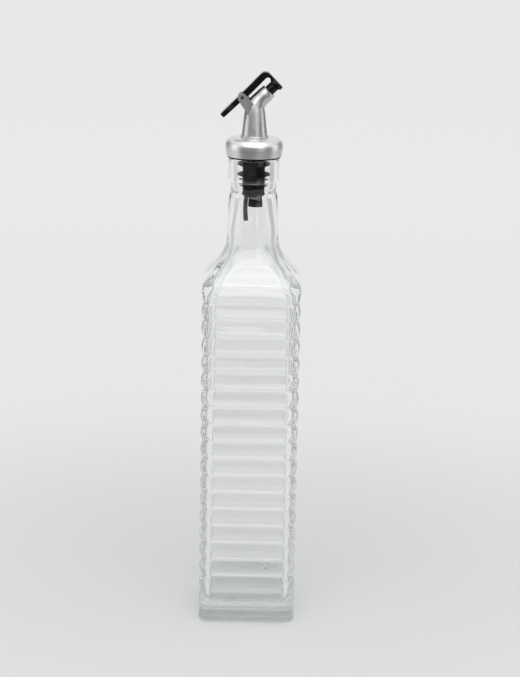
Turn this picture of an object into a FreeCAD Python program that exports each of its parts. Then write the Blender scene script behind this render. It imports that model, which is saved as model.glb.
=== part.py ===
import FreeCAD, Part
import math
import os

V = FreeCAD.Vector

# Ribbed square glass oil bottle with a lever pourer.
# Millimetres, +Z up, origin at the centre of the base on the table.
# The spout points to +X; the middle plane of the pourer is y = 0.

# Glass body
body_width = 57.0            # across the crowns of the ribs
body_corner_radius = 6.0     # plan corner at the crowns
rib_count = 18
rib_pitch = 10.28
rib_depth = 1.3              # crown to valley, before the valley is rounded
rib_valley_radius = 0.8
foot_edge_radius = 3.4       # bottom edge, from the table to the first crown
band_height = 4.28           # smooth band between the top rib and the shoulder
body_wall = 3.2              # glass behind a valley
cavity_corner_radius = 4.8
cavity_floor_radius = 3.2
base_thickness = 12.5
pushup_radius = 19.0         # shallow dome under the base
pushup_depth = 1.6

# Glass shoulder, neck and finish
shoulder_height = 24.0       # square at the bottom, round at the top
shoulder_sections = 8
shoulder_bow = 24.0          # degrees that half a side has bowed when it turns round
cavity_shoulder_drop = 5.5   # the inside turns in this much lower, as the glass is thick there
neck_height = 33.7           # shoulder to the finish ring
neck_base_radius = 14.8
neck_top_radius = 14.1
groove_radius = 13.1         # waist under the finish ring
groove_height = 6.0
groove_lead = 5.0            # cone from the neck into the waist
groove_bend_radius = 20.0    # where that cone begins
finish_radius = 14.45
finish_height = 13.1
finish_edge_radius = 1.0     # lower edge of the ring
lip_edge_radius = 1.6
mouth_radius = 9.7
mouth_chamfer = 0.8
mouth_depth = 15.0           # straight part of the bore
throat_radius = 8.8
throat_depth = 24.0          # narrowest place, below the lip
bore_bend_radius = 18.0      # softens the bore at the throat and under the mouth
neck_cavity_radius = 11.1    # inside the foot of the neck

# Rubber stopper
flange_radius = 15.1         # black disc on the lip
flange_thickness = 0.9
sleeve_wall = 0.9
sleeve_length = 23.0         # below the lip
fin_count = 4
fin_first_depth = 4.6
fin_pitch = 5.8
fin_taper = 1.35             # the lower fins step in by this
fin_straight = 2             # fins at the full bore
fin_root = 1.5
fin_tip = 0.7
fin_tip_round = 0.23
fin_rise = 0.38              # upward sweep per mm of reach
fin_clearance = 0.15

# Pour core: disc under the collar, stem in the stopper, inlet tube and air passage
core_disc_thickness = 2.0
core_stem_radius = 5.4
core_stem_tip = 0.6          # stem shows this much under the stopper
core_spigot_height = 3.5
inlet_radius = 4.1
inlet_wall = 1.0
inlet_x = 1.2
inlet_depth = 28.0           # below the lip
air_x = -4.5
air_bore_radius = 0.45
air_spigot_radius = 0.8
air_spigot_length = 4.0
air_riser_radius = 1.05
air_riser_height = 11.0
fit_clearance = 0.05         # between pieces pushed together

# Air tube, pushed on the air spigot
air_tube_radius = 1.3
air_tube_straight = 4.1
air_tube_bend_radius = 60.0
air_tube_bend_angle = 8.0

# Collar ring
collar_radius = 16.4
collar_foot_radius = 15.8
collar_height = 11.2         # lip to the top of the collar
collar_edge_radius = 4.5     # upper edge
collar_belly_height = 5.2    # widest place above the lip
collar_belly_radius = 9.2
collar_crown = 0.4           # the roof rises this much to its hole
collar_wall = 1.6
collar_boss_wall = 1.5

# Spout
spout_foot_radius = 7.45
spout_foot_flange = 9.8
spout_flange_thickness = 2.0
spout_bead_radius = 0.45     # thin bead where it leaves the collar
spout_waist_radius = 5.75    # at the start of the bend
spout_neck_radius = 4.75     # at the end of the bend
spout_mouth_radius = 4.5
spout_wall = 1.3
elbow_height = 30.0          # where the two axes meet, above the lip
elbow_bend_radius = 8.0
spout_sections = 12
nozzle_angle = 45.0          # above level
mouth_reach = 11.25          # from the elbow to the mouth

# Nozzle insert
nozzle_radius = 3.1
nozzle_bore_radius = 2.2
nozzle_length = 11.2
nozzle_stickout = 4.2
nozzle_tip_round = 0.4

# Fork and hinge pin; the pin is placed along and above the nozzle axis
pin_along = -2.15
pin_above = 8.05
pin_radius = 0.95
pin_recess = 0.3
ear_radius = 2.45
ear_round_share = 0.98       # of the ear's half width; the rest is a flat on top
ear_thickness = 1.8
ear_lean = 38.0              # from upright, towards the back
ear_length = 10.5
ear_root_half_width = 3.3
fork_side_gap = 0.2
hinge_clearance = 0.05

# Thumb lever
lever_width = 6.0
hub_radius = 2.3
arm_thickness = 3.8
arm_slope = 1.0              # degrees, away from the nozzle axis
lever_open_angle = 42.0      # how far the tail is pushed down
tail_length = 15.8
tail_thickness = 2.7
tail_slope = 2.0
tail_width = 8.0
tail_flare_share = 0.6       # of the tail behind the fork; the tail widens over it
tail_corner_radius = 2.2
tail_edge_radius = 0.7
head_radius = 4.1
head_plate = 1.7
head_rim = 0.7               # rim round the seal
head_edge_radius = 0.9
head_corner_radius = 3.6
head_inner_radius = 1.6

# Seal in the lever head
seal_radius = 3.3
seal_gap = 0.1               # closed, between the pad and the nozzle
seal_stand = 0.35            # pad proud of the rim
seal_dome_radius = 1.9
seal_dome_height = 0.4
seal_peg_radius = 1.1
seal_peg_length = 0.9

# Worked out from the sizes above
half = body_width / 2.0
corner_x = half - body_corner_radius
cavity_half = half - rib_depth - body_wall
cavity_corner_x = cavity_half - cavity_corner_radius
first_valley_z = foot_edge_radius + rib_pitch / 2.0
last_valley_z = first_valley_z + rib_count * rib_pitch
last_crown_z = last_valley_z + rib_pitch / 2.0
shoulder_z = last_crown_z + band_height
neck_z = shoulder_z + shoulder_height
finish_z = neck_z + neck_height
lip_z = finish_z + finish_height
cavity_shoulder_z = shoulder_z - cavity_shoulder_drop
cavity_neck_z = neck_z - cavity_shoulder_drop

core_stem_depth = sleeve_length + core_stem_tip
disc_top = flange_thickness + core_disc_thickness
spout_flange_top = disc_top + spout_flange_thickness
collar_skirt_radius = collar_foot_radius - collar_wall
bore_in_spout_foot = spout_foot_radius - spout_wall
spout_stand = collar_height + collar_crown
elbow_tangent = elbow_bend_radius * math.tan(math.radians((90.0 - nozzle_angle) / 2.0))
spout_rise = elbow_height - elbow_tangent - spout_stand
lever_half = lever_width / 2.0
fork_half = lever_half + fork_side_gap
ear_outer = fork_half + ear_thickness
open_gap = math.radians(90.0 + ear_lean + tail_slope - nozzle_angle - lever_open_angle)
fork_reach = ear_root_half_width + fork_side_gap + tail_thickness / 2.0 * math.cos(open_gap)
fork_clear = fork_reach / math.sin(open_gap)
tail_flare = tail_flare_share * (tail_length - tail_corner_radius - fork_clear)
nozzle_tip_along = mouth_reach + nozzle_stickout
seal_face_along = nozzle_tip_along + seal_gap
rim_face_along = seal_face_along + seal_stand
pocket_along = rim_face_along + head_rim
head_out_along = pocket_along + head_plate

same_point = 1e-6            # ends closer than this need no line between them


def rounded_wire(points):
    """Closed outline in the XZ plane; each point is x, z, corner radius."""
    corners = [V(x, 0, z) for x, z, radius in points]
    count = len(points)
    arcs = {}
    starts = list(corners)
    ends = list(corners)
    for i in range(count):
        radius = points[i][2]
        if radius <= 0:
            continue
        here = corners[i]
        back = corners[i - 1] - here
        ahead = corners[(i + 1) % count] - here
        back.normalize()
        ahead.normalize()
        middle = back + ahead
        middle.normalize()
        half_turn = back.getAngle(ahead) / 2.0
        reach = radius / math.tan(half_turn)
        depth = radius / math.sin(half_turn) - radius
        starts[i] = here + back * reach
        ends[i] = here + ahead * reach
        arcs[i] = Part.Arc(starts[i], here + middle * depth, ends[i]).toShape()
    edges = []
    for i in range(count):
        if i in arcs:
            edges.append(arcs[i])
        following = starts[(i + 1) % count]
        if (following - ends[i]).Length > same_point:
            edges.append(Part.LineSegment(ends[i], following).toShape())
    return Part.Wire(edges)


def revolved(points):
    """Solid of revolution about Z from a closed outline in the XZ plane."""
    face = Part.Face(rounded_wire(points))
    return face.revolve(V(0, 0, 0), V(0, 0, 1), 360)


def disc(radius, low, high, x=0.0):
    return Part.makeCylinder(radius, high - low, V(x, 0, low))


def slab(points, low_y, high_y):
    """Outline in the XZ plane pulled from one y to another."""
    wire = rounded_wire(points)
    wire.translate(V(0, low_y, 0))
    return Part.Face(wire).extrude(V(0, high_y - low_y, 0))


def slab_plan(points, low_z, high_z):
    """Outline of x and y pulled up from one height to another."""
    wire = rounded_wire(points)
    wire.rotate(V(0, 0, 0), V(1, 0, 0), -90)
    wire.translate(V(0, 0, low_z))
    return Part.Face(wire).extrude(V(0, 0, high_z - low_z))


def rod(radius, low, high):
    """Cylinder along x, for pieces on the nozzle axis."""
    return Part.makeCylinder(radius, high - low, V(low, 0, 0), V(1, 0, 0))


def turned_rod(points):
    """Revolved about x: each point is distance along x, radius, corner radius."""
    face = Part.Face(rounded_wire(points))
    return face.revolve(V(0, 0, 0), V(1, 0, 0), 360)


def arc_edge(first, middle, last):
    return Part.Arc(V(first[0], 0, first[1]), V(middle[0], 0, middle[1]), V(last[0], 0, last[1])).toShape()


def line_edge(first, last):
    return Part.LineSegment(V(first[0], 0, first[1]), V(last[0], 0, last[1])).toShape()


def to_lip(shape):
    """Pourer pieces are drawn from the lip of the bottle."""
    placed = shape.copy()
    placed.translate(V(0, 0, lip_z))
    return placed


def along_nozzle(shape):
    """Pieces drawn with x along the nozzle axis and z square to it."""
    placed = shape.copy()
    placed.rotate(V(0, 0, 0), V(0, 1, 0), -nozzle_angle)
    placed.translate(V(0, 0, elbow_height))
    return placed


# Glass bottle

def square_outline(half_width, corner, bow, z):
    """Four sides and four corners, all tangent; bow 0 gives straight sides.

    corner is the distance of each corner's centre from both middle planes.
    """
    bow_angle = math.radians(bow)
    radius = half_width - corner * (1.0 + math.tan(bow_angle / 2.0))
    end_x = corner + radius * math.cos(bow_angle)
    end_y = corner + radius * math.sin(bow_angle)
    diagonal = corner + radius * math.sqrt(0.5)
    first = V(end_x, -end_y, z)
    last = V(end_x, end_y, z)
    if bow > 0:
        side = Part.Arc(first, V(half_width, 0, z), last).toShape()
    else:
        side = Part.LineSegment(first, last).toShape()
    bend = Part.Arc(last, V(diagonal, diagonal, z), V(end_y, end_x, z)).toShape()
    edges = []
    for quarter in range(4):
        for piece in (side, bend):
            turned = piece.copy()
            turned.rotate(V(0, 0, 0), V(0, 0, 1), 90 * quarter)
            edges.append(turned)
    return Part.Wire(edges)


def square_sweep(profile, corner):
    """Closed solid: an open side profile taken round a square with rounded corners."""
    faces = []
    low = profile.Vertexes[0].Point
    high = profile.Vertexes[-1].Point
    side = profile.copy()
    side.translate(V(0, -corner, 0))
    flat = side.extrude(V(0, 2.0 * corner, 0))
    end = profile.copy()
    end.translate(V(0, corner, 0))
    bend = end.revolve(V(corner, corner, 0), V(0, 0, 1), 90)
    for quarter in range(4):
        for piece in (flat, bend):
            turned = piece.copy()
            turned.rotate(V(0, 0, 0), V(0, 0, 1), 90 * quarter)
            faces.extend(turned.Faces)
    faces.append(Part.Face(square_outline(low.x, corner, 0, low.z)))
    faces.append(Part.Face(square_outline(high.x, corner, 0, high.z)))
    shell = Part.Shell(faces)
    shell.sewShape()
    return Part.Solid(shell)


def rib_profile():
    """Foot, ribs and band at the middle of one side, from the table up."""
    half_pitch = rib_pitch / 2.0
    rib_radius = (half_pitch ** 2 + rib_depth ** 2) / (2.0 * rib_depth)
    rib_centre_x = half - rib_radius
    reach = rib_radius + rib_valley_radius
    valley_x = rib_centre_x + math.sqrt(reach ** 2 - half_pitch ** 2)
    tangent_x = rib_centre_x + (valley_x - rib_centre_x) * rib_radius / reach
    tangent_rise = half_pitch * rib_radius / reach
    mid_angle = math.asin(tangent_rise / rib_radius) / 2.0
    mid_x = rib_centre_x + rib_radius * math.cos(mid_angle)
    mid_rise = rib_radius * math.sin(mid_angle)

    edges = []
    foot_x = half - foot_edge_radius
    foot_mid = foot_edge_radius * (1.0 - math.sqrt(0.5))
    edges.append(arc_edge((foot_x, 0), (half - foot_mid, foot_mid), (half, foot_edge_radius)))
    crown_z = foot_edge_radius
    upper = (tangent_x, crown_z + tangent_rise)
    edges.append(arc_edge((half, crown_z), (mid_x, crown_z + mid_rise), upper))
    for k in range(rib_count + 1):
        valley_z = first_valley_z + k * rib_pitch
        crown_z = valley_z + half_pitch
        lower = (tangent_x, crown_z - tangent_rise)
        edges.append(arc_edge(upper, (valley_x - rib_valley_radius, valley_z), lower))
        if k < rib_count:
            upper = (tangent_x, crown_z + tangent_rise)
            edges.append(arc_edge(lower, (half, crown_z), upper))
        else:
            edges.append(arc_edge(lower, (mid_x, crown_z - mid_rise), (half, crown_z)))
    edges.append(line_edge((half, last_crown_z), (half, shoulder_z)))
    return Part.Wire(edges)


def shoulder_loft(half_width, corner, top_radius, low_z, high_z):
    """Square at the bottom, round at the top, along an S-shaped side."""
    outlines = []
    for i in range(shoulder_sections + 1):
        t = i / shoulder_sections
        ease = t * t * (3.0 - 2.0 * t)
        width = half_width + (top_radius - half_width) * ease
        z = low_z + (high_z - low_z) * t
        outlines.append(square_outline(width, corner * (1.0 - ease), shoulder_bow * ease, z))
    return Part.makeLoft(outlines, True, False)


def neck_solid():
    waist_top = finish_z - finish_edge_radius
    waist_low = finish_z - groove_height
    return revolved([
        (0, neck_z, 0),
        (neck_base_radius, neck_z, 0),
        (neck_top_radius, waist_low - groove_lead, groove_bend_radius),
        (groove_radius, waist_low, groove_height / 2.0),
        (groove_radius, waist_top, 0),
        (finish_radius, finish_z, finish_edge_radius / 2.0),
        (finish_radius, lip_z, lip_edge_radius),
        (0, lip_z, 0),
    ])


def bore_solid():
    over = lip_z + mouth_chamfer
    return revolved([
        (0, cavity_neck_z, 0),
        (neck_cavity_radius, cavity_neck_z, 0),
        (throat_radius, lip_z - throat_depth, bore_bend_radius),
        (mouth_radius, lip_z - mouth_depth, bore_bend_radius),
        (mouth_radius, lip_z - mouth_chamfer, 0),
        (mouth_radius + 2.0 * mouth_chamfer, over, 0),
        (0, over, 0),
    ])


def cavity_body():
    floor_mid = cavity_floor_radius * (1.0 - math.sqrt(0.5))
    wall_x = cavity_half
    floor_x = cavity_half - cavity_floor_radius
    wall_z = base_thickness + cavity_floor_radius
    profile = Part.Wire([
        arc_edge(
            (floor_x, base_thickness),
            (wall_x - floor_mid, base_thickness + floor_mid),
            (wall_x, wall_z)),
        line_edge((wall_x, wall_z), (wall_x, cavity_shoulder_z)),
    ])
    return square_sweep(profile, cavity_corner_x)


def pushup_solid():
    ball = (pushup_radius ** 2 + pushup_depth ** 2) / (2.0 * pushup_depth)
    return Part.makeSphere(ball, V(0, 0, pushup_depth - ball))


def glass_bottle():
    body = square_sweep(rib_profile(), corner_x)
    shoulder = shoulder_loft(half, corner_x, neck_base_radius, shoulder_z, neck_z)
    outside = body.fuse([shoulder, neck_solid()])
    inner_shoulder = shoulder_loft(
        cavity_half, cavity_corner_x, neck_cavity_radius, cavity_shoulder_z, cavity_neck_z)
    inside = cavity_body().fuse([inner_shoulder, bore_solid()])
    return outside.cut([inside, pushup_solid()])


# Pourer pieces, drawn from the lip

def fin_points(k):
    reach = mouth_radius - fin_clearance - fin_taper * max(0, k + 1 - fin_straight)
    root = core_stem_radius + fit_clearance + sleeve_wall
    z = -(fin_first_depth + k * fin_pitch)
    rise = fin_rise * (reach - root)
    return [
        (root, z + fin_root / 2.0, 0),
        (reach, z + rise + fin_tip / 2.0, fin_tip_round),
        (reach, z + rise - fin_tip / 2.0, fin_tip_round),
        (root, z - fin_root / 2.0, 0),
    ]


def rubber_stopper():
    inner = core_stem_radius + fit_clearance
    sleeve = inner + sleeve_wall
    points = [
        (inner, flange_thickness, 0),
        (flange_radius, flange_thickness, 0),
        (flange_radius, 0, 0),
        (sleeve, 0, 0),
    ]
    for k in range(fin_count):
        points.extend(fin_points(k))
    points.append((sleeve, -sleeve_length, 0))
    points.append((inner, -sleeve_length, 0))
    return to_lip(revolved(points))


def pour_core():
    plate = disc(collar_skirt_radius - fit_clearance, flange_thickness, disc_top)
    stem = disc(core_stem_radius, -core_stem_depth, flange_thickness)
    spigot = disc(bore_in_spout_foot - fit_clearance, disc_top, disc_top + core_spigot_height)
    inlet = disc(inlet_radius, -inlet_depth, -core_stem_depth, inlet_x)
    air_spigot = disc(air_spigot_radius, -core_stem_depth - air_spigot_length, -core_stem_depth, air_x)
    spigot_top = disc_top + core_spigot_height
    riser = disc(air_riser_radius, spigot_top, disc_top + air_riser_height, air_x)
    solid = plate.fuse([stem, spigot, inlet, air_spigot, riser])
    pour_bore = disc(inlet_radius - inlet_wall, -inlet_depth, spigot_top, inlet_x)
    air_bore = disc(air_bore_radius, -core_stem_depth - air_spigot_length, disc_top + air_riser_height, air_x)
    return to_lip(solid.cut([pour_bore, air_bore]).removeSplitter())


def air_tube():
    top = V(air_x, 0, -core_stem_depth)
    knee = top - V(0, 0, air_tube_straight)
    turn = math.radians(air_tube_bend_angle)

    def on_bend(angle):
        return knee + V(1.0 - math.cos(angle), 0, -math.sin(angle)) * air_tube_bend_radius

    path = Part.Wire([
        Part.LineSegment(top, knee).toShape(),
        Part.Arc(knee, on_bend(turn / 2.0), on_bend(turn)).toShape(),
    ])
    outer = Part.Wire(Part.makeCircle(air_tube_radius, top, V(0, 0, -1)))
    inner = Part.Wire(Part.makeCircle(air_spigot_radius + fit_clearance, top, V(0, 0, -1)))
    tube = path.makePipeShell([outer], True, False).cut(path.makePipeShell([inner], True, False))
    return to_lip(tube)


def collar_ring():
    hole = spout_foot_radius + fit_clearance
    boss = hole + collar_boss_wall
    skirt = collar_skirt_radius
    roof = collar_height - collar_wall
    return to_lip(revolved([
        (hole, collar_height + collar_crown, 0),
        (collar_radius, collar_height, collar_edge_radius),
        (collar_radius, collar_belly_height, collar_belly_radius),
        (collar_foot_radius, flange_thickness, 0),
        (skirt, flange_thickness, 0),
        (skirt, roof, collar_edge_radius - collar_wall),
        (boss, roof, 0),
        (boss, spout_flange_top, 0),
        (hole, spout_flange_top, 0),
    ]))


def spout_circle(distance, radius):
    """Circle square to the spout's path, at a distance along it from the collar."""
    turned = 90.0 - nozzle_angle
    bend = math.radians(turned) * elbow_bend_radius
    circle = Part.Wire(Part.makeCircle(radius, V(0, 0, 0), V(0, 0, 1)))
    if distance <= spout_rise:
        circle.translate(V(0, 0, spout_stand + distance))
    elif distance < spout_rise + bend:
        angle = (distance - spout_rise) / elbow_bend_radius
        circle.rotate(V(0, 0, 0), V(0, 1, 0), math.degrees(angle))
        x = elbow_bend_radius * (1.0 - math.cos(angle))
        z = spout_stand + spout_rise + elbow_bend_radius * math.sin(angle)
        circle.translate(V(x, 0, z))
    else:
        circle.rotate(V(0, 0, 0), V(0, 1, 0), 90.0)
        circle.translate(V(elbow_tangent + distance - spout_rise - bend, 0, 0))
        circle = along_nozzle(circle)
    return circle


def radius_at(stations, distance):
    for (low, low_radius), (high, high_radius) in zip(stations, stations[1:]):
        if distance < high:
            return low_radius + (high_radius - low_radius) * (distance - low) / (high - low)
    return stations[-1][1]


def spout_tube(stations):
    """Tapered bent tube, filled, through stations of distance along the path and radius."""
    length = stations[-1][0]
    outlines = []
    for i in range(spout_sections + 1):
        distance = length * i / spout_sections
        outlines.append(spout_circle(distance, radius_at(stations, distance)))
    return Part.makeLoft(outlines, True, False)


def pin_centre():
    turn = math.radians(nozzle_angle)
    x = pin_along * math.cos(turn) - pin_above * math.sin(turn)
    z = elbow_height + pin_along * math.sin(turn) + pin_above * math.cos(turn)
    return V(x, 0, z)


def ear_points():
    lean = math.radians(ear_lean)
    pin = pin_centre()
    up = V(-math.sin(lean), 0, math.cos(lean))
    side = V(math.cos(lean), 0, math.sin(lean))
    root = pin - up * ear_length
    top = pin + up * ear_radius
    corners = [
        (root - side * ear_root_half_width, 0),
        (root + side * ear_root_half_width, 0),
        (top + side * ear_radius, ear_radius * ear_round_share),
        (top - side * ear_radius, ear_radius * ear_round_share),
    ]
    return [(point.x, point.z, radius) for point, radius in corners]


def spout_shell():
    bend_end = spout_rise + math.radians(90.0 - nozzle_angle) * elbow_bend_radius
    seat_along = mouth_reach - (nozzle_length - nozzle_stickout)
    outside = spout_tube([
        (0, spout_foot_radius),
        (spout_rise, spout_waist_radius),
        (bend_end, spout_neck_radius),
        (bend_end + mouth_reach - elbow_tangent, spout_mouth_radius),
    ])
    foot = disc(spout_foot_flange, disc_top, spout_flange_top)
    stand = disc(spout_foot_radius, spout_flange_top, spout_stand)
    bead = revolved([
        (bore_in_spout_foot, spout_stand, 0),
        (spout_foot_radius + spout_bead_radius, spout_stand, 0),
        (spout_foot_radius + spout_bead_radius, spout_stand + 2.0 * spout_bead_radius, spout_bead_radius),
        (bore_in_spout_foot, spout_stand + 2.0 * spout_bead_radius, 0),
    ])
    ears = [slab(ear_points(), fork_half, ear_outer), slab(ear_points(), -ear_outer, -fork_half)]
    solid = outside.fuse([foot, stand, bead] + ears)
    passage = spout_tube([
        (0, bore_in_spout_foot),
        (spout_rise, spout_waist_radius - spout_wall),
        (bend_end, nozzle_bore_radius),
        (bend_end + seat_along - elbow_tangent, nozzle_bore_radius),
    ])
    well = disc(bore_in_spout_foot, disc_top, spout_stand)
    socket = along_nozzle(rod(nozzle_radius + fit_clearance, seat_along, mouth_reach + spout_wall))
    pin_hole = Part.makeCylinder(
        pin_radius + fit_clearance / 2.0, 2.0 * ear_outer, pin_centre() - V(0, ear_outer, 0), V(0, 1, 0))
    return to_lip(solid.cut([passage, well, socket, pin_hole]))


def nozzle_insert():
    tip = nozzle_tip_along
    tail = tip - nozzle_length
    tube = turned_rod([
        (tail, nozzle_bore_radius, 0),
        (tip, nozzle_bore_radius, 0),
        (tip, nozzle_radius, nozzle_tip_round),
        (tail, nozzle_radius, 0),
    ])
    return to_lip(along_nozzle(tube))


def hinge_pin():
    reach = ear_outer - pin_recess
    pin = Part.makeCylinder(pin_radius, 2.0 * reach, pin_centre() - V(0, reach, 0), V(0, 1, 0))
    return to_lip(pin)


def lever_outline():
    """Side view in the nozzle frame: tail, hub line, arm and head."""
    arm_rise = math.tan(math.radians(arm_slope))
    tail_rise = math.tan(math.radians(tail_slope))
    tail_x = pin_along - tail_length
    tail_z = pin_above + tail_length * tail_rise
    head_z = pin_above + (head_out_along - pin_along) * arm_rise
    inner_z = pin_above + (pocket_along - pin_along) * arm_rise - arm_thickness / 2.0
    return [
        (tail_x, tail_z - tail_thickness / 2.0, tail_edge_radius),
        (pin_along, pin_above - tail_thickness / 2.0, 0),
        (pin_along, pin_above - arm_thickness / 2.0, 0),
        (pocket_along, inner_z, head_inner_radius),
        (pocket_along, 0, 0),
        (head_out_along, 0, 0),
        (head_out_along, head_z + arm_thickness / 2.0, head_corner_radius),
        (pin_along, pin_above + arm_thickness / 2.0, 0),
        (tail_x, tail_z + tail_thickness / 2.0, tail_edge_radius),
    ]


def lever_plan():
    """Seen square to the lever: the tail widens where it stays clear of the fork."""
    tail_x = pin_along - tail_length
    narrow_x = pin_along - fork_clear
    wide_x = narrow_x - tail_flare
    wide = tail_width / 2.0
    return [
        (tail_x, -wide, tail_corner_radius),
        (wide_x, -wide, tail_flare),
        (narrow_x, -lever_half, tail_flare),
        (head_out_along, -lever_half, 0),
        (head_out_along, lever_half, 0),
        (narrow_x, lever_half, tail_flare),
        (wide_x, wide, tail_flare),
        (tail_x, wide, tail_corner_radius),
    ]


def thumb_lever():
    wide = tail_width / 2.0
    side = slab(lever_outline(), -wide, wide)
    plan = slab_plan(lever_plan(), 0.0, 2.0 * pin_above)
    bar = side.common(plan)
    hub = Part.makeCylinder(hub_radius, lever_width, V(pin_along, -lever_half, pin_above), V(0, 1, 0))
    cap = turned_rod([
        (rim_face_along, 0, 0),
        (rim_face_along, head_radius, 0),
        (head_out_along, head_radius, head_edge_radius),
        (head_out_along, 0, 0),
    ])
    pocket = rod(seal_radius + fit_clearance, rim_face_along - head_rim, pocket_along)
    peg_hole = rod(seal_peg_radius + fit_clearance, pocket_along, pocket_along + seal_peg_length)
    pin_hole = Part.makeCylinder(
        pin_radius + hinge_clearance, lever_width, V(pin_along, -lever_half, pin_above), V(0, 1, 0))
    lever = bar.fuse([hub, cap]).cut([pocket, peg_hole, pin_hole])
    return to_lip(along_nozzle(lever))


def lever_seal():
    ball = (seal_dome_radius ** 2 + seal_dome_height ** 2) / (2.0 * seal_dome_height)
    dome_mid = math.asin(seal_dome_radius / ball) / 2.0
    centre = seal_face_along - seal_dome_height + ball
    top = pocket_along + seal_peg_length
    wire = Part.Wire([
        arc_edge(
            (seal_face_along - seal_dome_height, 0),
            (centre - ball * math.cos(dome_mid), ball * math.sin(dome_mid)),
            (seal_face_along, seal_dome_radius)),
        line_edge((seal_face_along, seal_dome_radius), (seal_face_along, seal_radius)),
        line_edge((seal_face_along, seal_radius), (pocket_along, seal_radius)),
        line_edge((pocket_along, seal_radius), (pocket_along, seal_peg_radius)),
        line_edge((pocket_along, seal_peg_radius), (top, seal_peg_radius)),
        line_edge((top, seal_peg_radius), (top, 0)),
        line_edge((top, 0), (seal_face_along - seal_dome_height, 0)),
    ])
    pad = Part.Face(wire).revolve(V(0, 0, 0), V(1, 0, 0), 360)
    return to_lip(along_nozzle(pad))


nodes = {
    "glass_bottle": glass_bottle,
    "rubber_stopper": rubber_stopper,
    "pour_core": pour_core,
    "air_tube": air_tube,
    "collar_ring": collar_ring,
    "spout_shell": spout_shell,
    "nozzle_insert": nozzle_insert,
    "hinge_pin": hinge_pin,
    "thumb_lever": thumb_lever,
    "lever_seal": lever_seal,
}

os.makedirs("parts", exist_ok=True)
for name, make in nodes.items():
    shape = make()
    shape.exportStep("parts/" + name + ".step")
    state = "valid" if shape.isValid() else "INVALID"
    print(name, len(shape.Solids), "solid", round(shape.Volume, 1), "mm3", state)
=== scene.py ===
import math

import bpy
from mathutils import Matrix, Vector


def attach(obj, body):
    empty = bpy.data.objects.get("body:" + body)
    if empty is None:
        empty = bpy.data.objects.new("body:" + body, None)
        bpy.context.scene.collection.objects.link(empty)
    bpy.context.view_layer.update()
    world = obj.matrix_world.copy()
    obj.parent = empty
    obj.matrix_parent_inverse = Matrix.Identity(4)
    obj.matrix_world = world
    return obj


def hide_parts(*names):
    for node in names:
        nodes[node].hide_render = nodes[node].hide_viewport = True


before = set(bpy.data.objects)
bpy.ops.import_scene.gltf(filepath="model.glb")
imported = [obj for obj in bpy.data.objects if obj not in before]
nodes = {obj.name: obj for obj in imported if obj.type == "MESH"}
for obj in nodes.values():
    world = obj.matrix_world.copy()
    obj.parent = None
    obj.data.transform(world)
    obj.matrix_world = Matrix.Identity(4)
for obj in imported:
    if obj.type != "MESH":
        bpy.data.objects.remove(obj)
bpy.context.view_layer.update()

mm = 0.001
print("frame loaded:", ", ".join(sorted(nodes)))


def feed(tree, slot, value):  # a link or a plain value into a node's input
    if isinstance(value, Field):
        value = value.socket
    if isinstance(value, bpy.types.NodeSocket):
        tree.links.new(value, slot)
    else:
        slot.default_value = value


# Number fields in a node tree, written as plain sums
class Field:
    def __init__(self, tree, socket):
        self.tree = tree
        self.socket = socket

    def math(self, operation, *others):
        node = self.tree.nodes.new("ShaderNodeMath")
        node.operation = operation
        for slot, value in zip(node.inputs, (self,) + others):
            feed(self.tree, slot, value)
        return Field(self.tree, node.outputs[0])

    def __add__(self, other):
        return self.math("ADD", other)

    def __radd__(self, other):
        return self.math("ADD", other)

    def __sub__(self, other):
        return self.math("SUBTRACT", other)

    def __rsub__(self, other):
        return self.math("MULTIPLY", -1.0).math("ADD", other)

    def __mul__(self, other):
        return self.math("MULTIPLY", other)

    def __rmul__(self, other):
        return self.math("MULTIPLY", other)

    def __truediv__(self, other):
        return self.math("DIVIDE", other)

    def root(self):
        return self.math("MAXIMUM", 0.0).math("SQRT")

    def ease(self):  # 0 to 1 with level ends
        t = self.math("MAXIMUM", 0.0).math("MINIMUM", 1.0)
        return t * t * (3.0 - 2.0 * t)

    def flare(self):  # the same, with a long gentle upper end
        left = 1.0 - self
        return 1.0 - left * left * left * (1.0 + 3.0 * self)

    def fallOff(self, low, high):  # 1 up to the low value, 0 from the high value on
        return (1.0 - (self - low) / (high - low)).ease()


def newTree(name, kind, inputs, outputs):
    tree = bpy.data.node_groups.new(name, kind)
    for label, socketKind in inputs:
        tree.interface.new_socket(label, in_out="INPUT", socket_type=socketKind)
    for label, socketKind in outputs:
        tree.interface.new_socket(label, in_out="OUTPUT", socket_type=socketKind)
    return tree, tree.nodes.new("NodeGroupInput"), tree.nodes.new("NodeGroupOutput")


def addNode(tree, kind, inputs=None, **settings):
    node = tree.nodes.new(kind)
    for key, value in settings.items():
        setattr(node, key, value)
    for key, value in (inputs or {}).items():
        feed(tree, node.inputs[key], value)
    return node


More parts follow.
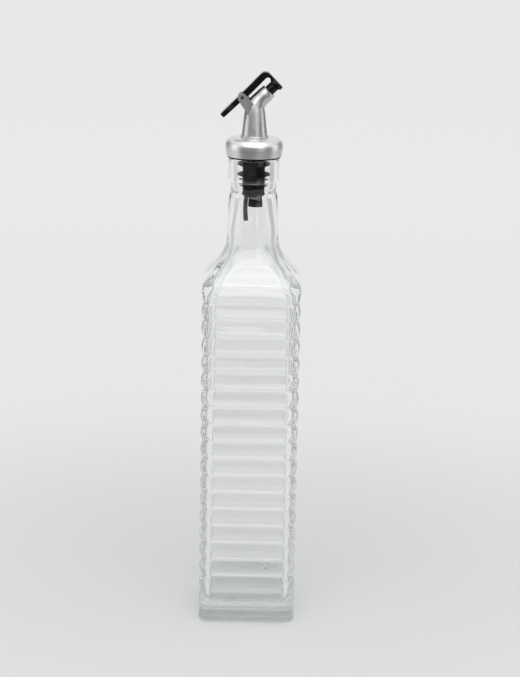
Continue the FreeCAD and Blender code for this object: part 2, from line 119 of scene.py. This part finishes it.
# Glass bottle: every level is a square with round corners, which becomes a circle at the neck
glassBottle = {
    "columns": 160,
    "cornerGather": 0.125,  # draws the columns towards the corners
    "rows": {
        "under": 24, "footEdge": 6, "rib": 10, "band": 4, "shoulder": 36,
        "neck": 14, "waist": 28, "finish": 5, "lipEdge": 6, "lip": 2, "mouth": 5,
        "bore": 36, "innerShoulder": 36, "innerWall": 108, "floorEdge": 8, "floor": 16,
    },
    "weld": 0.002 * mm,
    "waveDetail": 1.0,
    "waveRoughness": 0.4,
    "Body Half": 28.5 * mm,
    "Corner Radius": 6.0 * mm,
    "Foot Radius": 3.4 * mm,
    "Rib Count": 18.0,
    "Rib Pitch": 10.28 * mm,
    "Rib Depth": 1.3 * mm,
    "Valley Blend": 0.55 * mm,
    "Band Height": 3.28 * mm,
    "Shoulder Height": 29.0 * mm,
    "Shoulder Bow": math.radians(24.0),
    "Side Bow": math.radians(1.0),
    "Pushup Radius": 19.0 * mm,
    "Pushup Depth": 0.05 * mm,
    "Neck Foot": 14.8 * mm,
    "Neck Top": 14.1 * mm,
    "Neck Height": 29.7 * mm,
    "Groove Radius": 13.1 * mm,
    "Groove Height": 6.0 * mm,
    "Groove Lead": 5.0 * mm,
    "Finish Radius": 14.45 * mm,
    "Finish Height": 13.1 * mm,
    "Finish Edge": 1.0 * mm,
    "Lip Radius": 1.6 * mm,
    "Mouth Radius": 9.7 * mm,
    "Mouth Round": 0.8 * mm,
    "Mouth Depth": 15.0 * mm,
    "Throat Radius": 8.8 * mm,
    "Throat Depth": 24.0 * mm,
    "Neck Cavity": 11.1 * mm,
    "Cavity Half": 24.0 * mm,
    "Cavity Corner": 4.8 * mm,
    "Cavity Drop": 2.0 * mm,
    "Cavity Rise": 33.0 * mm,
    "Cavity Ripple": 0.25 * mm,
    "Floor Height": 12.5 * mm,
    "Floor Radius": 3.2 * mm,
    "Wave Height": 0.14 * mm,
    "Wave Scale": 42.0,
}


def squareRingTree():
    # how far out a rounded, bowed square reaches at an angle
    inputs = [(name, "NodeSocketFloat") for name in ("Angle", "Half", "Corner", "Bow")]
    outputs = [("Reach", "NodeSocketFloat")]
    tree, groupIn, groupOut = newTree("squareRing", "GeometryNodeTree", inputs, outputs)
    angle, half, corner, bow = (Field(tree, groupIn.outputs[name]) for name, kind in inputs)
    across = angle.math("COSINE").math("ABSOLUTE")
    along = angle.math("SINE").math("ABSOLUTE")
    longer = across.math("MAXIMUM", along)
    shorter = across.math("MINIMUM", along)
    radius = half - corner * (1.0 + (bow * 0.5).math("TANGENT"))
    endX = corner + radius * bow.math("COSINE")
    endY = corner + radius * bow.math("SINE")
    sideRadius = endY / bow.math("SINE")
    sideCentre = half - sideRadius
    offSide = sideCentre * shorter
    onSide = sideCentre * longer + (sideRadius * sideRadius - offSide * offSide).root()
    offCorner = corner * (longer - shorter)
    onCorner = corner * (longer + shorter) + (radius * radius - offCorner * offCorner).root()
    pastSide = (shorter * endX).math("GREATER_THAN", longer * endY)
    reach = onSide + (onCorner - onSide) * pastSide
    tree.links.new(reach.socket, groupOut.inputs["Reach"])
    return tree


def splitPosition(tree):
    position = addNode(tree, "GeometryNodeInputPosition")
    return addNode(tree, "ShaderNodeSeparateXYZ", {0: position.outputs[0]})


def ribbedGlassTree(material):
    sizeNames = [name for name in glassBottle if name[0].isupper()]
    inputs = [(name, "NodeSocketFloat") for name in sizeNames]
    outputs = [("Geometry", "NodeSocketGeometry")]
    tree, groupIn, groupOut = newTree("ribbedGlass", "GeometryNodeTree", inputs, outputs)
    size = {name: Field(tree, groupIn.outputs[name]) for name in sizeNames}
    rows = glassBottle["rows"]
    ringTree = squareRingTree()
    place = splitPosition(tree)
    v = Field(tree, place.outputs["Y"]) + 0.5
    turn = (Field(tree, place.outputs["X"]) + 0.5) * (2.0 * math.pi)
    angle = turn + (turn * 4.0).math("SINE") * glassBottle["cornerGather"]
    cosine = angle.math("COSINE")
    sine = angle.math("SINE")
    quarterSine = (v * (math.pi / 2.0)).math("SINE")
    quarterCosine = (v * (math.pi / 2.0)).math("COSINE")
    sections = []

    # one stretch of the wall: a grid whose rows become rings
    def section(rowCount, half, corner, bow, height):
        ring = addNode(tree, "GeometryNodeGroup", {
            "Angle": angle, "Half": half, "Corner": corner, "Bow": bow}, node_tree=ringTree)
        reach = Field(tree, ring.outputs["Reach"])
        z = height(reach) if callable(height) else height
        point = addNode(tree, "ShaderNodeCombineXYZ", {0: reach * cosine, 1: reach * sine, 2: z})
        grid = addNode(tree, "GeometryNodeMeshGrid", {
            "Size X": 1.0, "Size Y": 1.0,
            "Vertices X": glassBottle["columns"] + 1, "Vertices Y": rowCount + 1})
        moved = addNode(tree, "GeometryNodeSetPosition", {
            "Geometry": grid.outputs["Mesh"], "Position": point.outputs[0]})
        sections.append(moved.outputs["Geometry"])

    half = size["Body Half"]
    corner = half - size["Corner Radius"]
    sideBow = size["Side Bow"]
    fullBow = size["Shoulder Bow"]
    foot = size["Foot Radius"]
    pitch = size["Rib Pitch"]
    depth = size["Rib Depth"]
    ribs = size["Rib Count"] + 1.0
    bandLow = foot + ribs * pitch
    shoulderLow = bandLow + size["Band Height"]
    neckLow = shoulderLow + size["Shoulder Height"]
    finishLow = neckLow + size["Neck Height"]
    lip = finishLow + size["Finish Height"]
    ribRadius = (pitch * pitch * 0.25 + depth * depth) / (depth * 2.0)

    def ribShape(turns, bulge):  # 0 at a crown, minus the depth in a valley
        off = ((turns + 0.5).math("FRACT") - 0.5).math("ABSOLUTE") * pitch
        beyond = pitch - off
        own = (bulge * bulge - off * off).root() - bulge
        neighbour = (bulge * bulge - beyond * beyond).root() - bulge
        return own.math("SMOOTH_MAX", neighbour, size["Valley Blend"])

    def dome(reach):  # shallow hollow under the base
        part = reach / size["Pushup Radius"]
        return ((1.0 - part * part) * size["Pushup Depth"]).math("MAXIMUM", 0.0)

    # outside, from under the base up to the neck
    section(rows["under"], v * (half - foot), v * corner, sideBow, dome)
    section(rows["footEdge"], half - foot + foot * quarterSine, corner, sideBow,
            foot - foot * quarterCosine)
    ribRows = int((glassBottle["Rib Count"] + 1) * rows["rib"])
    section(ribRows, half + ribShape(v * ribs, ribRadius), corner, sideBow,
            foot + v * (bandLow - foot))
    section(rows["band"], half, corner, sideBow, bandLow + v * size["Band Height"])
    rise = v.flare()
    section(rows["shoulder"], half + (size["Neck Foot"] - half) * rise, corner * (1.0 - rise),
            sideBow + (fullBow - sideBow) * rise, shoulderLow + v * size["Shoulder Height"])

    # neck, waist, finish ring and lip
    grooveTop = finishLow - size["Finish Edge"]
    grooveLow = finishLow - size["Groove Height"]
    coneTop = grooveLow - size["Groove Lead"]
    neckRadius = size["Neck Foot"] + (size["Neck Top"] - size["Neck Foot"]) * v
    section(rows["neck"], neckRadius, 0.0, fullBow, neckLow + v * (coneTop - neckLow))
    z = coneTop + v * (finishLow - coneTop)
    waist = (size["Groove Radius"] - size["Neck Top"]) * ((z - coneTop) / size["Groove Lead"]).ease()
    ringOut = size["Finish Radius"] - size["Groove Radius"]
    finishRing = ringOut * ((z - grooveTop) / size["Finish Edge"]).ease()
    section(rows["waist"], size["Neck Top"] + waist + finishRing, 0.0, fullBow, z)
    lipEdge = size["Lip Radius"]
    lipOut = size["Finish Radius"] - lipEdge
    lipIn = size["Mouth Radius"] + size["Mouth Round"]
    section(rows["finish"], size["Finish Radius"], 0.0, fullBow,
            finishLow + v * (lip - lipEdge - finishLow))
    section(rows["lipEdge"], lipOut + lipEdge * quarterCosine, 0.0, fullBow,
            lip - lipEdge + lipEdge * quarterSine)
    section(rows["lip"], lipOut + (lipIn - lipOut) * v, 0.0, fullBow, lip)

    # inside, from the mouth down to the floor
    boreTop = lip - size["Mouth Round"]
    boreLow = neckLow - size["Cavity Drop"]
    section(rows["mouth"], lipIn - size["Mouth Round"] * quarterSine, 0.0, fullBow,
            boreTop + size["Mouth Round"] * quarterCosine)
    z = boreTop + v * (boreLow - boreTop)
    throatTop = lip - size["Mouth Depth"]
    throat = lip - size["Throat Depth"]
    narrowing = ((throatTop - z) / (throatTop - throat)).ease()
    widening = ((throat - z) / (throat - boreLow)).ease()
    boreRadius = (size["Mouth Radius"] + (size["Throat Radius"] - size["Mouth Radius"]) * narrowing
                  + (size["Neck Cavity"] - size["Throat Radius"]) * widening)
    section(rows["bore"], boreRadius, 0.0, fullBow, z)
    cavity = size["Cavity Half"]
    cavityCorner = cavity - size["Cavity Corner"]
    cavityTop = boreLow - size["Cavity Rise"]
    down = 1.0 - v
    rise = down.flare()
    section(rows["innerShoulder"], cavity + (size["Neck Cavity"] - cavity) * rise,
            cavityCorner * (1.0 - rise), sideBow + (fullBow - sideBow) * rise,
            cavityTop + down * size["Cavity Rise"])
    floorEdge = size["Floor Radius"]
    wallLow = size["Floor Height"] + floorEdge
    z = cavityTop + v * (wallLow - cavityTop)
    ripple = (((z - foot) / pitch) * (2.0 * math.pi)).math("COSINE") * size["Cavity Ripple"]
    ends = ((z - wallLow) / pitch).ease() * ((cavityTop - z) / pitch).ease()
    section(rows["innerWall"], cavity + ripple * ends, cavityCorner, sideBow, z)
    section(rows["floorEdge"], cavity - floorEdge + floorEdge * quarterCosine, cavityCorner, sideBow,
            wallLow - floorEdge * quarterSine)
    section(rows["floor"], (cavity - floorEdge) * down, cavityCorner * down, sideBow,
            size["Floor Height"])

    joined = addNode(tree, "GeometryNodeJoinGeometry")
    for part in sections:
        tree.links.new(part, joined.inputs[0])
    merged = addNode(tree, "GeometryNodeMergeByDistance", {
        "Geometry": joined.outputs[0], "Distance": glassBottle["weld"]})

    # uneven walls, as pressed glass has, with none at the foot and in the mouth
    noise = addNode(tree, "ShaderNodeTexNoise", {
        "Scale": size["Wave Scale"], "Detail": glassBottle["waveDetail"],
        "Roughness": glassBottle["waveRoughness"]})
    height = Field(tree, splitPosition(tree).outputs["Z"])
    fade = ((height - foot * 2.0) / pitch).ease() * ((grooveLow - height) / pitch).ease()
    wave = (Field(tree, noise.outputs[0]) - 0.5) * 2.0 * size["Wave Height"] * fade
    normal = addNode(tree, "GeometryNodeInputNormal")
    push = addNode(tree, "ShaderNodeVectorMath", {
        0: normal.outputs[0], "Scale": wave}, operation="SCALE")
    waved = addNode(tree, "GeometryNodeSetPosition", {
        "Geometry": merged.outputs["Geometry"], "Offset": push.outputs[0]})
    smooth = addNode(tree, "GeometryNodeSetShadeSmooth", {"Geometry": waved.outputs["Geometry"]})
    real = addNode(tree, "GeometryNodeRealizeInstances", {"Geometry": smooth.outputs[0]})
    painted = addNode(tree, "GeometryNodeSetMaterial", {
        "Geometry": real.outputs[0], "Material": material})
    tree.links.new(painted.outputs[0], groupOut.inputs["Geometry"])
    return tree


def meshFromTree(name, tree, values):
    holder = bpy.data.objects.new(name + "Maker", bpy.data.meshes.new(name + "Maker"))
    bpy.context.scene.collection.objects.link(holder)
    modifier = holder.modifiers.new("build", "NODES")
    modifier.node_group = tree
    for item in tree.interface.items_tree:
        if item.in_out == "INPUT" and item.name in values:
            modifier[item.identifier] = values[item.name]
    graph = bpy.context.evaluated_depsgraph_get()
    mesh = bpy.data.meshes.new_from_object(holder.evaluated_get(graph))
    bpy.data.objects.remove(holder)
    mesh.name = name
    piece = bpy.data.objects.new(name, mesh)
    bpy.context.scene.collection.objects.link(piece)
    return piece


# Materials
def newMaterial(name):
    material = bpy.data.materials.new(name)
    material.use_nodes = True
    tree = material.node_tree
    shader = tree.nodes["Principled BSDF"]
    return material, tree, shader


def objectPoint(tree, scale=(1.0, 1.0, 1.0)):
    coordinates = addNode(tree, "ShaderNodeTexCoord")
    mapping = addNode(tree, "ShaderNodeMapping", {
        "Vector": coordinates.outputs["Object"], "Scale": scale})
    return mapping.outputs[0]


cloud = {
    "broad": {"Detail": 3.0, "Roughness": 0.55},
    "fine": {"Detail": 4.0, "Roughness": 0.6},
    "fineScale": 9.0,  # how many fine clouds lie across a broad one
    "fineShare": 0.3,
    "range": (0.38, 0.62),
}


def mottleGroup():
    # soft cloudy mask at two sizes, for smudges and uneven gloss
    inputs = [("Vector", "NodeSocketVector")]
    inputs += [(name, "NodeSocketFloat") for name in ("Scale", "Low", "High")]
    outputs = [("Value", "NodeSocketFloat")]
    tree, groupIn, groupOut = newTree("mottle", "ShaderNodeTree", inputs, outputs)
    vector = groupIn.outputs["Vector"]
    scale = Field(tree, groupIn.outputs["Scale"])
    broad = addNode(tree, "ShaderNodeTexNoise", {
        "Vector": vector, "Scale": scale, **cloud["broad"]})
    fine = addNode(tree, "ShaderNodeTexNoise", {
        "Vector": vector, "Scale": scale * cloud["fineScale"], **cloud["fine"]})
    share = cloud["fineShare"]
    mixed = Field(tree, broad.outputs[0]) * (1.0 - share) + Field(tree, fine.outputs[0]) * share
    ranged = addNode(tree, "ShaderNodeMapRange", {
        "Value": mixed, "From Min": cloud["range"][0], "From Max": cloud["range"][1],
        "To Min": groupIn.outputs["Low"], "To Max": groupIn.outputs["High"]})
    tree.links.new(ranged.outputs[0], groupOut.inputs["Value"])
    return tree


def grainGroup():
    # fine even grain of moulded pieces, as a height
    inputs = [("Vector", "NodeSocketVector"), ("Scale", "NodeSocketFloat")]
    outputs = [("Height", "NodeSocketFloat")]
    tree, groupIn, groupOut = newTree("grain", "ShaderNodeTree", inputs, outputs)
    noise = addNode(tree, "ShaderNodeTexNoise", {
        "Vector": groupIn.outputs["Vector"], "Scale": groupIn.outputs["Scale"], "Detail": 2.0})
    tree.links.new(noise.outputs[0], groupOut.inputs["Height"])
    return tree


mottle = mottleGroup()
grain = grainGroup()


def mottled(tree, scale, low, high):
    return addNode(tree, "ShaderNodeGroup", {
        "Vector": objectPoint(tree), "Scale": scale, "Low": low, "High": high},
        node_tree=mottle).outputs[0]


def grained(tree, scale):
    return addNode(tree, "ShaderNodeGroup", {
        "Vector": objectPoint(tree), "Scale": scale}, node_tree=grain).outputs[0]


def bumpFrom(tree, height, strength, distance):
    return addNode(tree, "ShaderNodeBump", {
        "Height": height, "Strength": strength, "Distance": distance}).outputs[0]


clearGlass = {
    "wallColor": (0.985, 0.995, 0.99, 1.0),
    "baseTintAndShade": (0.765, 0.79, 0.79, 1.0),  # painted shade: the solid base is coloured greyer than the walls, partly the thick glass's tint and partly the shadowed floor seen through it
    "baseShadeFade": (8.0 * mm, 17.0 * mm),
    "ior": 1.5,
    "smudge": (60.0, 0.0, 0.012),  # scale, lowest and highest roughness
    "underRoughness": 0.5,  # the underside is worn and stippled
    "underFade": (1.5 * mm, 5.0 * mm),
    "rippleStretch": (1.0, 1.0, 2.2),
    "rippleScale": 95.0,
    "rippleDetail": 1.5,
    "rippleBump": (0.10, 0.4 * mm),  # strength, depth
    "lampColor": (0.87, 0.885, 0.88, 1.0),  # what a wall lets through of a lamp's light
    "tintColor": (0.82, 0.86, 0.86, 1.0),
    "tintDensity": 8.0,
}


def makeClearGlass():
    look = clearGlass
    material, tree, shader = newMaterial("clearGlass")
    shader.inputs["Transmission Weight"].default_value = 1.0
    shader.inputs["IOR"].default_value = look["ior"]
    point = addNode(tree, "ShaderNodeSeparateXYZ", {0: objectPoint(tree)})
    height = Field(tree, point.outputs["Z"])
    # painted shade: the base is tinted greyer, partly for the thick glass and partly for the shadowed
    # floor seen through it
    body = addNode(tree, "ShaderNodeMix", {
        0: height.fallOff(*look["baseShadeFade"]), 6: look["wallColor"], 7: look["baseTintAndShade"]},
        data_type="RGBA")
    tree.links.new(body.outputs[2], shader.inputs["Base Color"])
    worn = height.fallOff(*look["underFade"]) * look["underRoughness"]
    shine = Field(tree, mottled(tree, *look["smudge"])) + worn
    tree.links.new(shine.socket, shader.inputs["Roughness"])
    ripple = addNode(tree, "ShaderNodeTexNoise", {
        "Vector": objectPoint(tree, look["rippleStretch"]),
        "Scale": look["rippleScale"], "Detail": look["rippleDetail"]})
    bump = bumpFrom(tree, ripple.outputs[0], *look["rippleBump"])
    tree.links.new(bump, shader.inputs["Normal"])
    path = addNode(tree, "ShaderNodeLightPath")
    clear = addNode(tree, "ShaderNodeBsdfTransparent", {"Color": look["lampColor"]})
    mixed = addNode(tree, "ShaderNodeMixShader", {
        0: path.outputs["Is Shadow Ray"], 1: shader.outputs[0], 2: clear.outputs[0]})
    output = tree.nodes["Material Output"]
    tree.links.new(mixed.outputs[0], output.inputs["Surface"])
    tint = addNode(tree, "ShaderNodeVolumeAbsorption", {
        "Color": look["tintColor"], "Density": look["tintDensity"]})
    tree.links.new(tint.outputs[0], output.inputs["Volume"])
    return material


satinCollar = {
    "color": (0.80, 0.80, 0.795, 1.0),
    "lineStretch": (8.0, 8.0, 2400.0),  # fine lines round the ring, left by turning
    "lineDetail": 3.0,
    "lineRange": (0.3, 0.7),
    "roughness": (0.28, 0.42),
    "bump": (0.2, 0.03 * mm),
}


def makeTurnedMetal():
    look = satinCollar
    material, tree, shader = newMaterial("satinMetal")
    shader.inputs["Base Color"].default_value = look["color"]
    shader.inputs["Metallic"].default_value = 1.0
    lines = addNode(tree, "ShaderNodeTexNoise", {
        "Vector": objectPoint(tree, look["lineStretch"]), "Scale": 1.0, "Detail": look["lineDetail"]})
    ranged = addNode(tree, "ShaderNodeMapRange", {
        "Value": lines.outputs[0],
        "From Min": look["lineRange"][0], "From Max": look["lineRange"][1],
        "To Min": look["roughness"][0], "To Max": look["roughness"][1]})
    tree.links.new(ranged.outputs[0], shader.inputs["Roughness"])
    tree.links.new(bumpFrom(tree, lines.outputs[0], *look["bump"]), shader.inputs["Normal"])
    return material


# Plain finishes: mottle is scale, lowest and highest roughness; grain is scale, strength, depth
blackRubber = {
    "name": "blackRubber",
    "color": (0.004, 0.004, 0.0048, 1.0),
    "specular": 0.04,
    "mottle": (180.0, 0.42, 0.62),
    "grain": (2600.0, 0.25, 0.05 * mm),
}
glossBlack = {
    "name": "glossBlack",
    "color": (0.004, 0.004, 0.0045, 1.0),
    "specular": 0.22,
    "mottle": (240.0, 0.14, 0.26),
}
smokyPlastic = {
    "name": "smokyPlastic",
    "color": (0.07, 0.07, 0.068, 1.0),
    "mottle": (300.0, 0.3, 0.45),
}
silverPlastic = {
    "name": "silverPlastic",
    "color": (0.57, 0.57, 0.565, 1.0),
    "metallic": 1.0,
    "mottle": (120.0, 0.30, 0.39),
    "grain": (4200.0, 0.08, 0.02 * mm),
}
darkSteel = {
    "name": "darkSteel",
    "color": (0.09, 0.09, 0.092, 1.0),
    "metallic": 1.0,
    "mottle": (400.0, 0.35, 0.5),
}


def makePlainFinish(look):
    material, tree, shader = newMaterial(look["name"])
    shader.inputs["Base Color"].default_value = look["color"]
    if "metallic" in look:
        shader.inputs["Metallic"].default_value = look["metallic"]
    if "specular" in look:
        shader.inputs["Specular IOR Level"].default_value = look["specular"]
    tree.links.new(mottled(tree, *look["mottle"]), shader.inputs["Roughness"])
    if "grain" in look:
        scale, strength, depth = look["grain"]
        bump = bumpFrom(tree, grained(tree, scale), strength, depth)
        tree.links.new(bump, shader.inputs["Normal"])
    return material


glassMaterial = makeClearGlass()
finishes = {
    "rubber_stopper": makePlainFinish(blackRubber),
    "lever_seal": makePlainFinish(blackRubber),
    "pour_core": makePlainFinish(blackRubber),
    "nozzle_insert": makePlainFinish(glossBlack),
    "thumb_lever": makePlainFinish(glossBlack),
    "air_tube": makePlainFinish(smokyPlastic),
    "collar_ring": makeTurnedMetal(),
    "spout_shell": makePlainFinish(silverPlastic),
    "hinge_pin": makePlainFinish(darkSteel),
}
for name, material in finishes.items():
    mesh = nodes[name].data
    mesh.materials.clear()
    mesh.materials.append(material)
print("materials ready:", len(finishes) + 1)

glassPiece = meshFromTree("glassBottle", ribbedGlassTree(glassMaterial), glassBottle)
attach(glassPiece, "bottle")
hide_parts("glass_bottle")
print("glass:", len(glassPiece.data.polygons), "faces")


# Stage: pale floor and room, one large softbox above the camera, a strip at each side
stage = {
    "floorHalf": 14.0,
    "floorLevel": -0.1 * mm,  # a hair under the glass, so that the two faces don't meet
    "floorColor": (0.86, 0.86, 0.86, 1.0),
    "floorRoughness": 0.9,
    "floorSpecular": 0.1,
    "shadedNearGlow": 0.84,  # the floor's pale glow, with painted shade that makes it darker by the bottle than far off
    "farGlow": 0.91,
    "glowShadeFade": (0.04, 1.64),
    "nearShare": 0.08,  # how much of what is seen of the floor is that glow
    "farShare": 0.8,
    "shareFade": (0.04, 0.49),
    "roomLight": 0.45,
    "roomSeen": 0.85,
    "lamps": {
        "softbox": {"size": (1.6, 1.6), "radiance": 1.5, "elevation": 47.0, "turn": 0.0,
                    "distance": 1.25, "aim": 0.2, "inGlass": True},
        "leftStrip": {"size": (0.3, 0.5), "radiance": 0.68, "elevation": 4.0, "turn": -84.0,
                      "distance": 0.8, "aim": 0.25, "inGlass": False},
        "rightStrip": {"size": (0.3, 0.5), "radiance": 0.55, "elevation": 4.0, "turn": 92.0,
                       "distance": 0.8, "aim": 0.25, "inGlass": False},
    },
    "cardDistance": 0.55,
    "cards": (  # turns from the camera, heights, glow
        ((-62.0, 18.0), (0.002, 0.19), 0.06),
        ((18.0, 44.0), (0.002, 0.19), 0.06),
        ((44.0, 78.0), (0.002, 0.19), 0.06),
        ((-62.0, 18.0), (0.19, 0.42), 0.22),
        ((44.0, 78.0), (0.19, 0.42), 0.22),
        ((-110.0, -62.0), (0.002, 0.19), 0.68),
        ((78.0, 108.0), (0.002, 0.19), 0.66),
        ((-142.0, -110.0), (0.002, 0.45), 0.58),
        ((108.0, 146.0), (0.002, 0.45), 0.5),
    ),
    "metalCardDistance": 0.5,
    "metalCards": (  # the same, which only reflections show
        ((-150.0, -106.0), (0.21, 0.48), 0.27),
        ((106.0, 150.0), (0.21, 0.48), 0.27),
    ),
}


def seenRay(tree):  # 1 where the camera, a reflection or the glass looks at a surface
    path = addNode(tree, "ShaderNodeLightPath")
    seen = Field(tree, path.outputs["Is Camera Ray"])
    for kind in ("Is Glossy Ray", "Is Transmission Ray"):
        seen = seen.math("MAXIMUM", Field(tree, path.outputs[kind]))
    return seen


def stagePlane(name, corners, material):
    mesh = bpy.data.meshes.new(name)
    mesh.from_pydata(corners, [], [tuple(range(len(corners)))])
    plane = bpy.data.objects.new(name, mesh)
    bpy.context.scene.collection.objects.link(plane)
    mesh.materials.append(material)
    return plane


def makeFloor():
    material, tree, shader = newMaterial("paleFloor")
    shader.inputs["Base Color"].default_value = stage["floorColor"]
    shader.inputs["Roughness"].default_value = stage["floorRoughness"]
    shader.inputs["Specular IOR Level"].default_value = stage["floorSpecular"]
    length = addNode(tree, "ShaderNodeVectorMath", {0: objectPoint(tree)}, operation="LENGTH")
    away = Field(tree, length.outputs["Value"])
    glowShadeDrop = stage["farGlow"] - stage["shadedNearGlow"]
    shareDrop = stage["farShare"] - stage["nearShare"]
    # painted shade: the floor's glow darkens towards the bottle
    glow = stage["farGlow"] - away.fallOff(*stage["glowShadeFade"]) * glowShadeDrop
    share = stage["farShare"] - away.fallOff(*stage["shareFade"]) * shareDrop
    pale = addNode(tree, "ShaderNodeEmission", {"Strength": glow})
    mixed = addNode(tree, "ShaderNodeMixShader", {
        0: seenRay(tree) * share, 1: shader.outputs[0], 2: pale.outputs[0]})
    tree.links.new(mixed.outputs[0], tree.nodes["Material Output"].inputs["Surface"])
    half = stage["floorHalf"]
    signs = ((-1.0, -1.0), (1.0, -1.0), (1.0, 1.0), (-1.0, 1.0))
    stagePlane("floor", [(x * half, y * half, stage["floorLevel"]) for x, y in signs], material)


def makeLamp(name, values):
    lamp = bpy.data.lights.new(name, "AREA")
    lamp.shape = "RECTANGLE"
    lamp.size, lamp.size_y = values["size"]
    lamp.energy = values["radiance"] * math.pi * lamp.size * lamp.size_y
    turn = math.radians(values["turn"])
    rise = math.radians(values["elevation"])
    level = math.cos(rise)
    away = Vector((math.sin(turn) * level, -math.cos(turn) * level, math.sin(rise)))
    holder = bpy.data.objects.new(name, lamp)
    holder.location = Vector((0.0, 0.0, values["aim"])) + away * values["distance"]
    holder.rotation_euler = (-away).to_track_quat("-Z", "Y").to_euler()
    holder.visible_camera = False
    holder.visible_transmission = values["inGlass"]
    bpy.context.scene.collection.objects.link(holder)


def makeCards(group, away, inGlass):  # grey cards, which only reflections and the glass show
    for i, (turns, (bottom, top), glow) in enumerate(stage[group]):
        name = group + str(i)
        material, tree, shader = newMaterial(name)
        shader.inputs["Base Color"].default_value = (0.0, 0.0, 0.0, 1.0)
        shader.inputs["Emission Color"].default_value = (1.0, 1.0, 1.0, 1.0)
        shader.inputs["Emission Strength"].default_value = glow
        shader.inputs["Specular IOR Level"].default_value = 0.0
        ends = [(math.sin(turn) * away, -math.cos(turn) * away) for turn in map(math.radians, turns)]
        corners = [(x, y, bottom) for x, y in ends] + [(x, y, top) for x, y in reversed(ends)]
        card = stagePlane(name, corners, material)
        card.visible_camera = False
        card.visible_diffuse = False
        card.visible_shadow = False
        card.visible_transmission = inGlass


def makeRoom():
    world = bpy.data.worlds.new("studio")
    bpy.context.scene.world = world
    world.use_nodes = True
    tree = world.node_tree
    background = tree.nodes["Background"]
    background.inputs["Color"].default_value = (1.0, 1.0, 1.0, 1.0)
    strength = seenRay(tree) * (stage["roomSeen"] - stage["roomLight"]) + stage["roomLight"]
    tree.links.new(strength.socket, background.inputs["Strength"])


makeFloor()
for lampName, lampValues in stage["lamps"].items():
    makeLamp(lampName, lampValues)
makeCards("cards", stage["cardDistance"], True)
makeCards("metalCards", stage["metalCardDistance"], False)
makeRoom()
print("stage ready")


# Camera, where the photograph was taken from
view = {
    "target": (5.3 * mm, 0.0, 167.0 * mm),
    "elevation": math.radians(14.0),
    "distance": 1126.0 * mm,
    "roll": math.radians(1.05),
    "sensor": 36.0,
    "lens": 102.4,
    "bounces": 24,  # the thick corners throw light round many times
}


def makeCamera():
    camera = bpy.data.cameras.new("camera")
    camera.sensor_fit = "VERTICAL"
    camera.sensor_height = view["sensor"]
    camera.lens = view["lens"]
    holder = bpy.data.objects.new("camera", camera)
    away = Vector((0.0, -math.cos(view["elevation"]), math.sin(view["elevation"])))
    holder.location = Vector(view["target"]) + away * view["distance"]
    aim = (-away).to_track_quat("-Z", "Y").to_matrix() @ Matrix.Rotation(view["roll"], 3, "Z")
    holder.rotation_euler = aim.to_euler()
    bpy.context.scene.collection.objects.link(holder)
    bpy.context.scene.camera = holder


makeCamera()
bpy.context.scene.view_settings.view_transform = "Standard"
lightPaths = bpy.context.scene.cycles
lightPaths.max_bounces = view["bounces"]
lightPaths.glossy_bounces = view["bounces"]
lightPaths.transmission_bounces = view["bounces"]
